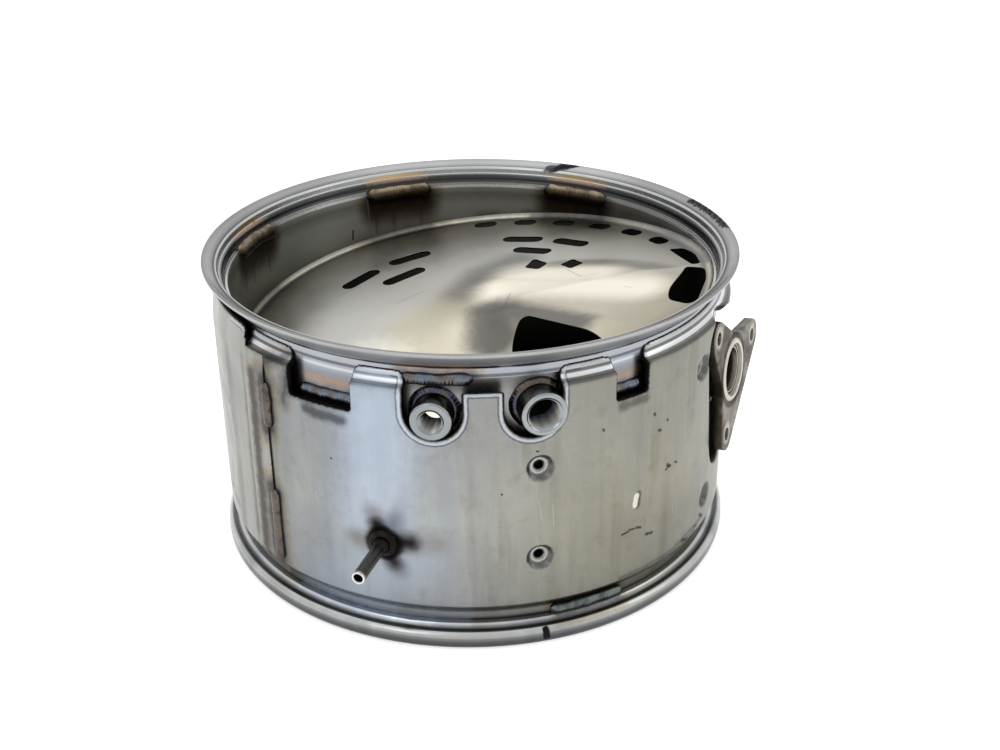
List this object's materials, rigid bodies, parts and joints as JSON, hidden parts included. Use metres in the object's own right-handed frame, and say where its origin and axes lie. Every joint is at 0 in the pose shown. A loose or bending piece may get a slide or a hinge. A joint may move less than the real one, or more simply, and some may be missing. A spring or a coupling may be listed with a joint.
{
  "type": "exhaust decomposition reactor",
  "caption": "Short cylindrical exhaust mixing can with V-band flanges, insulated shields, sensor bosses, a pressure tap, an angled doser mount and a helical inlet baffle.",
  "frame": {"origin": "on the can's axis at the bottom of the outlet flange", "axes": "+Z from the outlet to the inlet, -Y towards the sensor bosses, +X towards the doser mount"},
  "size_m": [0.3695, 0.3739, 0.2],
  "materials": {
    "can_steel": "brushed",
    "flange_steel": "brushed",
    "baffle_steel": "brushed",
    "shield_steel": "brushed",
    "mat_fibre": "matte",
    "boss_steel": "brushed",
    "weld_metal": "brushed",
    "tube_steel": "brushed",
    "insert_steel": "brushed",
    "doser_steel": "brushed"
  },
  "bodies": {
    "root": {"inner_can": "can_steel", "inlet_flange": "flange_steel", "outlet_flange": "flange_steel", "inlet_baffle": "baffle_steel", "outlet_baffle": "baffle_steel", "front_shield": "shield_steel", "rear_shield": "shield_steel", "insulation_mat": "mat_fibre", "temperature_boss": "boss_steel", "gas_sensor_boss": "boss_steel", "boss_welds": "weld_metal", "pressure_tap": "tube_steel", "tap_weld": "weld_metal", "shield_inserts": "insert_steel", "doser_mount": "doser_steel", "doser_weld": "weld_metal", "inner_stitch_welds": "weld_metal", "outer_stitch_welds": "weld_metal", "foot_stitch_welds": "weld_metal", "front_seam_welds": "weld_metal", "rear_seam_welds": "weld_metal"}
  },
  "joints": []
}
